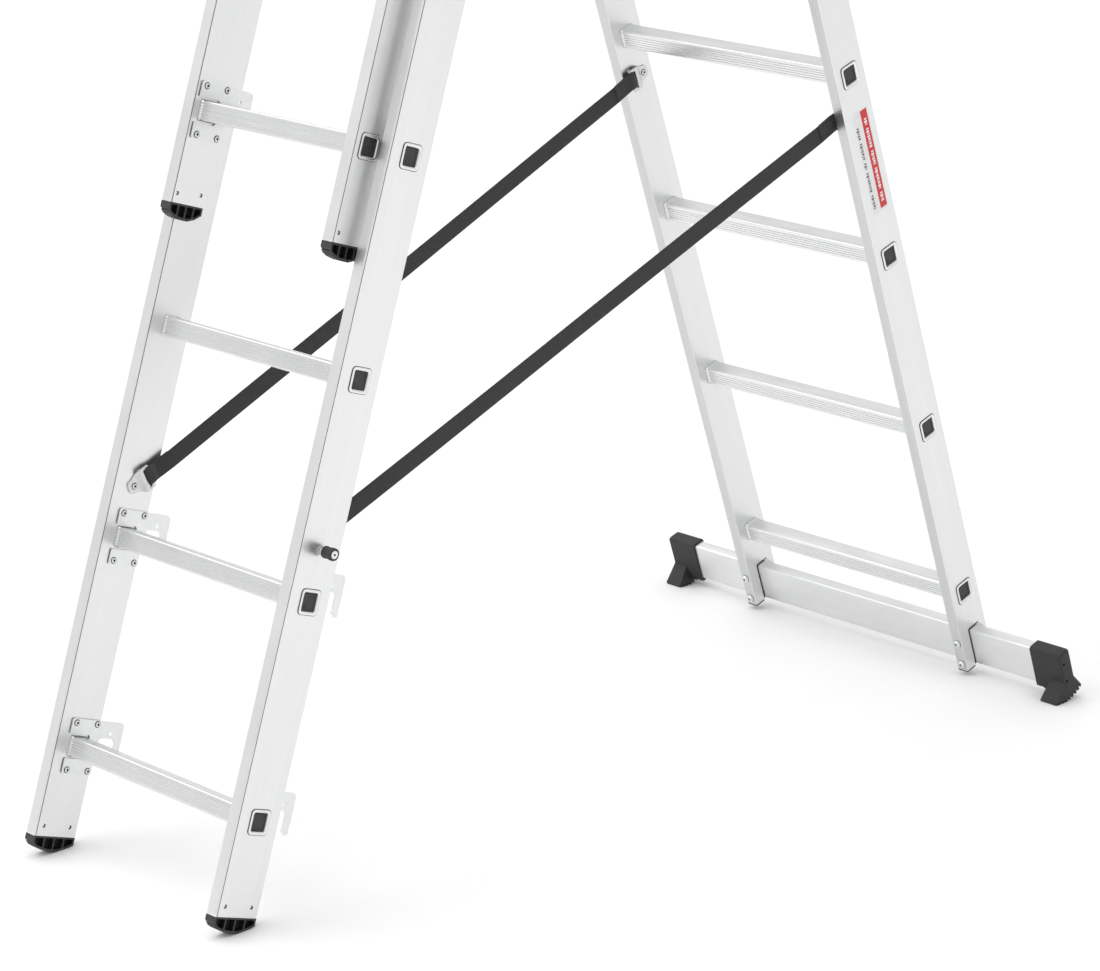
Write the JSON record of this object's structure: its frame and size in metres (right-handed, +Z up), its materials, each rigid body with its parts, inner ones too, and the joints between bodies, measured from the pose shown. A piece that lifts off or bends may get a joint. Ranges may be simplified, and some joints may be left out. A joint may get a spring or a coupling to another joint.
{
  "type": "multi position ladder",
  "caption": "Three-section aluminium combination ladder standing as a stepladder, with the top section extended, a stabiliser bar across the rear side and webbing straps.",
  "frame": {"origin": "on the ground, at the centre of the footprint's bounding box", "axes": "+Z up, +X along the rungs, +Y from the front section, which carries the extended top section, to the rear section with the stabiliser bar"},
  "size_m": [0.784, 1.445, 2.93],
  "materials": {
    "stile_aluminium": "mill-finish extruded aluminium, fine lengthwise draw lines, satin",
    "rung_aluminium": "ribbed extruded aluminium, satin",
    "zinc_plated_steel": "pressed sheet steel, bright zinc plated",
    "black_plastic": "moulded black plastic, fine texture",
    "shoe_rubber": "moulded black rubber with a serrated sole",
    "strap_webbing": "woven black polyester webbing"
  },
  "bodies": {
    "rear_section": {"hinge_bracket_left": "zinc_plated_steel", "hinge_bracket_right": "zinc_plated_steel", "rear_rung_1": "rung_aluminium", "rear_rung_2": "rung_aluminium", "rear_rung_3": "rung_aluminium", "rear_rung_4": "rung_aluminium", "rear_rung_5": "rung_aluminium", "rear_rung_6": "rung_aluminium", "rear_rung_7": "rung_aluminium", "rear_rung_8": "rung_aluminium", "rear_stile_left": "stile_aluminium", "rear_stile_right": "stile_aluminium", "rear_strap_lug_left": "zinc_plated_steel", "rear_strap_lug_right": "zinc_plated_steel", "stabiliser_bar": "stile_aluminium", "stabiliser_shoe_left": "shoe_rubber", "stabiliser_shoe_right": "shoe_rubber", "strap_left": "strap_webbing", "strap_right": "strap_webbing"},
    "front_section": {"front_foot_left": "black_plastic", "front_foot_right": "black_plastic", "front_hook_1_left": "zinc_plated_steel", "front_hook_1_right": "zinc_plated_steel", "front_hook_2_left": "zinc_plated_steel", "front_hook_2_right": "zinc_plated_steel", "front_rung_1": "rung_aluminium", "front_rung_2": "rung_aluminium", "front_rung_3": "rung_aluminium", "front_rung_4": "rung_aluminium", "front_rung_5": "rung_aluminium", "front_rung_6": "rung_aluminium", "front_rung_7": "rung_aluminium", "front_rung_8": "rung_aluminium", "front_stile_left": "stile_aluminium", "front_stile_right": "stile_aluminium", "front_strap_lug_left": "zinc_plated_steel", "front_strap_lug_right": "zinc_plated_steel", "guide_bracket_left": "zinc_plated_steel", "guide_bracket_right": "zinc_plated_steel", "pivot_bolt_left": "zinc_plated_steel", "pivot_bolt_right": "zinc_plated_steel", "stop_knob_left": "black_plastic", "stop_knob_right": "black_plastic"},
    "top_section": {"top_cap_left": "black_plastic", "top_cap_right": "black_plastic", "top_foot_left": "black_plastic", "top_foot_right": "black_plastic", "top_hook_left": "zinc_plated_steel", "top_hook_right": "zinc_plated_steel", "top_rung_1": "rung_aluminium", "top_rung_2": "rung_aluminium", "top_rung_3": "rung_aluminium", "top_rung_4": "rung_aluminium", "top_rung_5": "rung_aluminium", "top_rung_6": "rung_aluminium", "top_rung_7": "rung_aluminium", "top_rung_8": "rung_aluminium", "top_stile_left": "stile_aluminium", "top_stile_right": "stile_aluminium"}
  },
  "joints": [
    {"name": "fold_hinge", "type": "hinge", "parent": "rear_section", "child": "front_section", "pos_m": [0, -0.03938, 1.93952], "axis": [1, 0, 0], "range_deg": [0, 36.9], "deforming": ["strap_left", "strap_right"]},
    {"name": "top_slide", "type": "slide", "parent": "front_section", "child": "top_section", "axis": [0, 0.3193, 0.9477], "range_m": [0, 0.2]}
  ]
}
